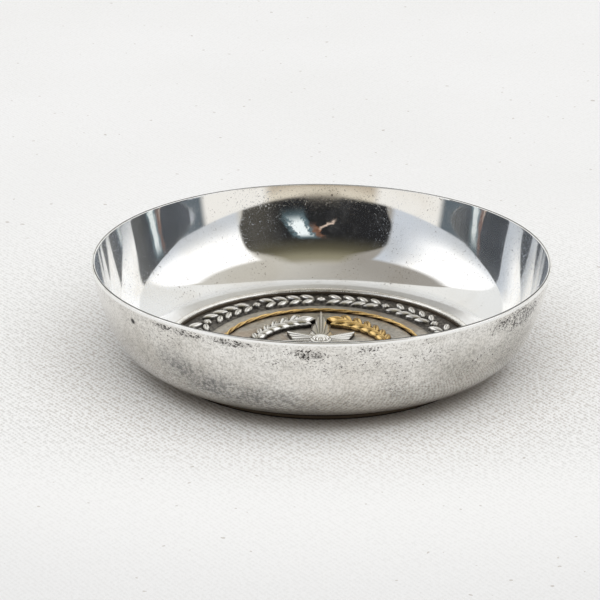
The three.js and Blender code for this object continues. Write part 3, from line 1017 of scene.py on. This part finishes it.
def build_sprig(name, turn, mirrored, material, slot):
    bm = bmesh.new()
    add_stem(bm)
    knot = around(SPRIG_RADIUS, SPRIG_BUTT, KNOT_HEIGHT)
    place = Matrix.Translation(knot)
    bmesh.ops.create_icosphere(bm, subdivisions=3, radius=KNOT_RADIUS, matrix=place)
    for i in range(1, LEAF_PAIRS + 1):
        along = i / LEAF_PAIRS
        scale = BUTT_LEAF_SCALE + (1 - BUTT_LEAF_SCALE) * along
        bearing = SPRIG_BUTT + (SPRIG_TIP - SPRIG_BUTT) * (along - 0.5 / LEAF_PAIRS)
        for lean in (LEAF_ANGLE, -LEAF_ANGLE):
            add_leaf(bm, around(SPRIG_RADIUS, bearing), bearing + 90 + lean, scale)
    add_leaf(bm, around(SPRIG_RADIUS, SPRIG_TIP), SPRIG_TIP + 90, 1)
    for vert in bm.verts:
        vert.co.z = max(vert.co.z, 0) + FIELD_HEIGHT
    if mirrored:
        bmesh.ops.scale(bm, vec=(1, -1, 1), verts=bm.verts)
    bmesh.ops.rotate(bm, matrix=Matrix.Rotation(math.radians(turn), 3, "Z"), verts=bm.verts)
    sprig = smooth(from_bmesh(name, bm), 50)
    finish_piece(sprig, slot, [material], "laurel_" + name)


# ---------------------------------------------------------------- camera, floor and light

CAMERA_DISTANCE = 636.4 * MM  # from the middle of the rim's plane
CAMERA_RISE = math.radians(20.21)
CAMERA_YAW = math.radians(-0.442)
CAMERA_DIP = math.radians(-21.04)
CAMERA_ROLL = math.radians(0.297)
CAMERA_LENS = 175.8  # on a 36 mm sensor


def build_camera():
    data = bpy.data.cameras.new("camera")
    data.lens = CAMERA_LENS
    data.sensor_width = 36
    data.clip_start = 0.01
    data.clip_end = 50
    camera = link("camera", data)
    away = CAMERA_DISTANCE * math.cos(CAMERA_RISE)
    camera.location = (0, -away, RIM_HEIGHT + CAMERA_DISTANCE * math.sin(CAMERA_RISE))
    level = math.cos(CAMERA_DIP)
    look = Vector(
        (math.sin(CAMERA_YAW) * level, math.cos(CAMERA_YAW) * level, math.sin(CAMERA_DIP))
    )
    aim = look.to_track_quat("-Z", "Y").to_matrix().to_4x4()
    # A camera rolled anticlockwise turns its picture clockwise.
    camera.rotation_euler = (aim @ Matrix.Rotation(CAMERA_ROLL, 4, "Z")).to_euler()
    bpy.context.scene.camera = camera


FLOOR_SIZE = 3.0


def build_floor():
    bm = bmesh.new()
    bmesh.ops.create_grid(bm, x_segments=8, y_segments=8, size=FLOOR_SIZE)
    floor = from_bmesh("floor", bm)
    floor.data.materials.append(canvas())


# The studio is laid out by bearing, which runs from -Y towards +X, and by rise above level, both
# in degrees. A leaning thing is given by its bearing where the rise is nought.
ROOM_LEFT, ROOM_RIGHT = -39, 46  # the dark room behind the camera
RIGHT_SOFTBOX, LEFT_SOFTBOX, SOFTBOX_RISE = (45, 114), (-116, -38), (3, 51)
WINDOW, WINDOW_RISE = (17.0, 24), (12, 23)
GLOW, GLOW_RISE = (14.0, 26.5), (10, 25)
LAMP, LAMP_RISE = (10.5, 14.5), (16, 24)
STREAK_BEARING, STREAK_RISE = (-7, 1), (15.9, 17.1)  # its rise is the one at bearing nought
WINDOW_LEAN = 0.5  # degrees of bearing for each degree of rise
SHELF_TOP = (6.1, 6.6)  # its top edge is soft between these rises
BACK_WALL_STEEPNESS = 2.6  # the wall's top edge, as its height over its distance
DIFFUSE_SHARE = 0.62  # how much of the studio's light falls on dull surfaces
BACKDROP = (0.86, 0.86, 0.85)

BACK_WALL, CEILING_LEFT, CEILING_RIGHT = (0.86, 0.86, 0.84), (0.35, 0.33, 0.3), (0.6, 0.58, 0.53)
SOFTBOX, SOFTBOX_LOW, SOFTBOX_FAR = (1.25, 1.25, 1.25), (0.6, 0.63, 0.67), (0.6, 0.64, 0.7)
ROOM_TOP, ROOM_OLIVE, ROOM_DIM = (0.48, 0.45, 0.39), (0.28, 0.26, 0.18), (0.11, 0.1, 0.065)
ROOM_BLACK, ROOM_BROWN, ROOM_PATCH = (0.02, 0.02, 0.021), (0.075, 0.07, 0.06), (0.5, 0.5, 0.5)
WINDOW_COLOR, GLOW_COLOR = (0.92, 0.99, 1.0), (0.2, 0.3, 0.34)
LAMP_COLOR, STREAK_COLOR = (0.32, 0.16, 0.1), (0.75, 0.6, 0.5)
SHELF_LOW, SHELF_HIGH = (0.52, 0.45, 0.36), (0.74, 0.68, 0.57)
SHELF_WHITE, SIDE_PANEL, SHELF_BACK = (0.9, 0.88, 0.84), (0.11, 0.135, 0.155), (0.85, 0.85, 0.83)


def softboxes(g, color, bearing, rise):
    """Adds a wide softbox to each side. Both are dimmer low down, and the left one at its end."""
    lit = g.between(rise, *SOFTBOX_RISE, 7)
    panel = g.mix(g.step(rise, 7, 19), SOFTBOX_LOW, SOFTBOX)
    right = g.times(g.between(bearing, *RIGHT_SOFTBOX, 5), lit)
    color = g.mix(right, color, panel)
    left = g.times(g.between(bearing, *LEFT_SOFTBOX, 4), lit)
    return g.mix(left, color, g.mix(g.step(bearing, -74, -42), panel, SOFTBOX_FAR))


def dark_room(g, color, bearing, rise, wander):
    """Adds the room: black low down, olive higher up, browner to the right and narrower above."""
    upper = g.mix(g.step(rise, 54, 74), ROOM_OLIVE, ROOM_TOP)
    middle = g.mix(g.step(rise, 36, 56), ROOM_DIM, upper)
    dark = g.mix(g.step(bearing, 18, 36), ROOM_BLACK, ROOM_BROWN)
    dark = g.mix(g.times(wander, 0.2, clamp=True), dark, ROOM_PATCH)
    room = g.mix(g.step(rise, 20, 42), dark, middle)
    corner = g.step(rise, 12, 6)
    narrow_left = g.plus(g.times(g.step(rise, 24, 52), 13.0), g.times(corner, 4.0))
    narrow_right = g.plus(g.times(g.step(rise, 30, 54), 9.0), g.times(corner, 3.0))
    after_left = g.minus(g.minus(bearing, narrow_left), float(ROOM_LEFT))
    before_right = g.minus(float(ROOM_RIGHT), g.plus(bearing, narrow_right))
    soft = g.scale(g.step(rise, 25, 60), 1.5, 12.0)
    after_left = g.math("DIVIDE", after_left, soft, clamp=True)
    before_right = g.math("DIVIDE", before_right, soft, clamp=True)
    in_room = g.times(after_left, before_right)
    in_room = g.times(in_room, g.step(rise, 80, 62))
    return g.mix(in_room, color, room)


def window_and_lamp(g, color, toward, bearing, rise):
    """Adds a leaning window in the room, with a warm lamp's glow beside it."""
    jitter = g.minus(g.noise(toward, 22, 3, 0.7), 0.5)
    shaky = g.plus(bearing, g.times(jitter, 11.0))
    lean = g.plus(shaky, g.times(rise, WINDOW_LEAN))
    glow = g.times(g.between(lean, *GLOW, 4), g.between(rise, *GLOW_RISE, 5))
    color = g.tint(color, GLOW_COLOR, glow, 0.6)
    lamp = g.times(g.between(lean, *LAMP, 3), g.between(rise, *LAMP_RISE, 6))
    lamp = g.times(lamp, g.scale(jitter, 0.6, 3.0), clamp=True)
    color = g.mix(lamp, color, LAMP_COLOR)
    streak = g.minus(rise, g.times(shaky, 0.5))
    streak = g.times(g.between(streak, *STREAK_RISE, 1.0), g.between(bearing, *STREAK_BEARING, 3))
    color = g.mix(streak, color, STREAK_COLOR)
    window = g.times(g.between(lean, *WINDOW, 1.2), g.between(rise, *WINDOW_RISE, 4))
    return g.mix(window, color, WINDOW_COLOR)


def shelf_and_panels(g, color, bearing, rise):
    """Adds what is low down: a beige shelf in front, and white and dark panels to the sides."""
    sideways = g.unsigned(bearing)
    shelf = g.mix(g.step(rise, 4.8, 5.8), SHELF_LOW, SHELF_HIGH)
    shelf = g.mix(g.step(sideways, 25, 32), shelf, SHELF_WHITE)
    shelf = g.mix(g.step(sideways, 62, 67), shelf, SIDE_PANEL)
    shelf = g.mix(g.step(sideways, 105, 115), shelf, SHELF_BACK)
    low, high = SHELF_TOP
    return g.mix(g.step(rise, high, low), color, shelf)


def build_world():
    """A studio by direction: softboxes, a pale back wall and a dark room behind the camera."""
    world = bpy.data.worlds.new("studio")
    bpy.context.scene.world = world
    world.use_nodes = True
    g = Graph(world.node_tree)
    toward = g.node("ShaderNodeTexCoord", output=0)
    x, y, z = g.split(toward)
    wander = g.minus(g.noise(toward, 9, 3, 0.6), 0.5)
    rise = g.times(g.math("ARCSINE", z), math.degrees(1))
    bearing = g.bearing(x, y)

    ceiling = g.mix(g.step(x, -0.35, 0.35), CEILING_LEFT, CEILING_RIGHT)
    above_wall = g.minus(z, g.times(y, BACK_WALL_STEEPNESS))
    color = g.mix(g.step(above_wall, -0.03, 0.03), BACK_WALL, ceiling)
    color = softboxes(g, color, bearing, rise)
    color = dark_room(g, color, bearing, rise, wander)
    color = window_and_lamp(g, color, toward, bearing, rise)
    color = shelf_and_panels(g, color, bearing, rise)

    path = g.tree.nodes.new("ShaderNodeLightPath").outputs
    color = g.mix(path["Is Camera Ray"], color, BACKDROP)
    strength = g.minus(1.0, g.times(path["Is Diffuse Ray"], 1 - DIFFUSE_SHARE))
    background = g.node("ShaderNodeBackground", {"Color": color, "Strength": strength})
    g.node("ShaderNodeOutputWorld", {"Surface": background})
    bpy.context.scene.view_settings.view_transform = "Standard"


KEY_STRENGTH = 2.35
KEY_WIDTH = math.radians(80)
KEY_TILT, KEY_TURN = math.radians(30), math.radians(8)


def build_key():
    """A wide soft key light from above the camera. It shows on the cloth and not in the metal."""
    data = bpy.data.lights.new("key", "SUN")
    data.energy = KEY_STRENGTH
    data.angle = KEY_WIDTH
    key = link("key", data)
    key.visible_glossy = False
    key.rotation_euler = (KEY_TILT, 0, KEY_TURN)


# ---------------------------------------------------------------- the scene

STAR_BRIGHT, STAR_DARK = (0.95, 0.935, 0.9), (0.07, 0.065, 0.06)
SPRIG_BRIGHT, SPRIG_DARK = (0.92, 0.905, 0.87), (0.08, 0.075, 0.07)
GILT_BRIGHT, GILT_DARK = (0.86, 0.6, 0.25), (0.2, 0.13, 0.07)

star_silver = relief_metal(
    "worn_silver", STAR_BRIGHT, STAR_DARK, FIELD_HEIGHT + 0.35 * MM, STAR_EDGE
)
sprig_silver = relief_metal(
    "sprig_silver", SPRIG_BRIGHT, SPRIG_DARK, FIELD_HEIGHT + 0.4 * MM, STAR_EDGE
)
gilt = relief_metal(
    "gilt", GILT_BRIGHT, GILT_DARK, FIELD_HEIGHT + 0.1 * MM, STAR_EDGE - 0.2 * MM
)

build_camera()
build_floor()
build_world()
build_key()
build_bowl()
build_mount()
build_base_plate()
build_medal()
build_star()
build_rivet()
build_rope()
build_sprig("sprig_northeast", 0, False, gilt, "gilt")
build_sprig("sprig_northwest", 180, True, sprig_silver, "worn_silver")
build_sprig("sprig_southwest", 180, False, gilt, "gilt")
build_sprig("sprig_southeast", 0, True, sprig_silver, "worn_silver")
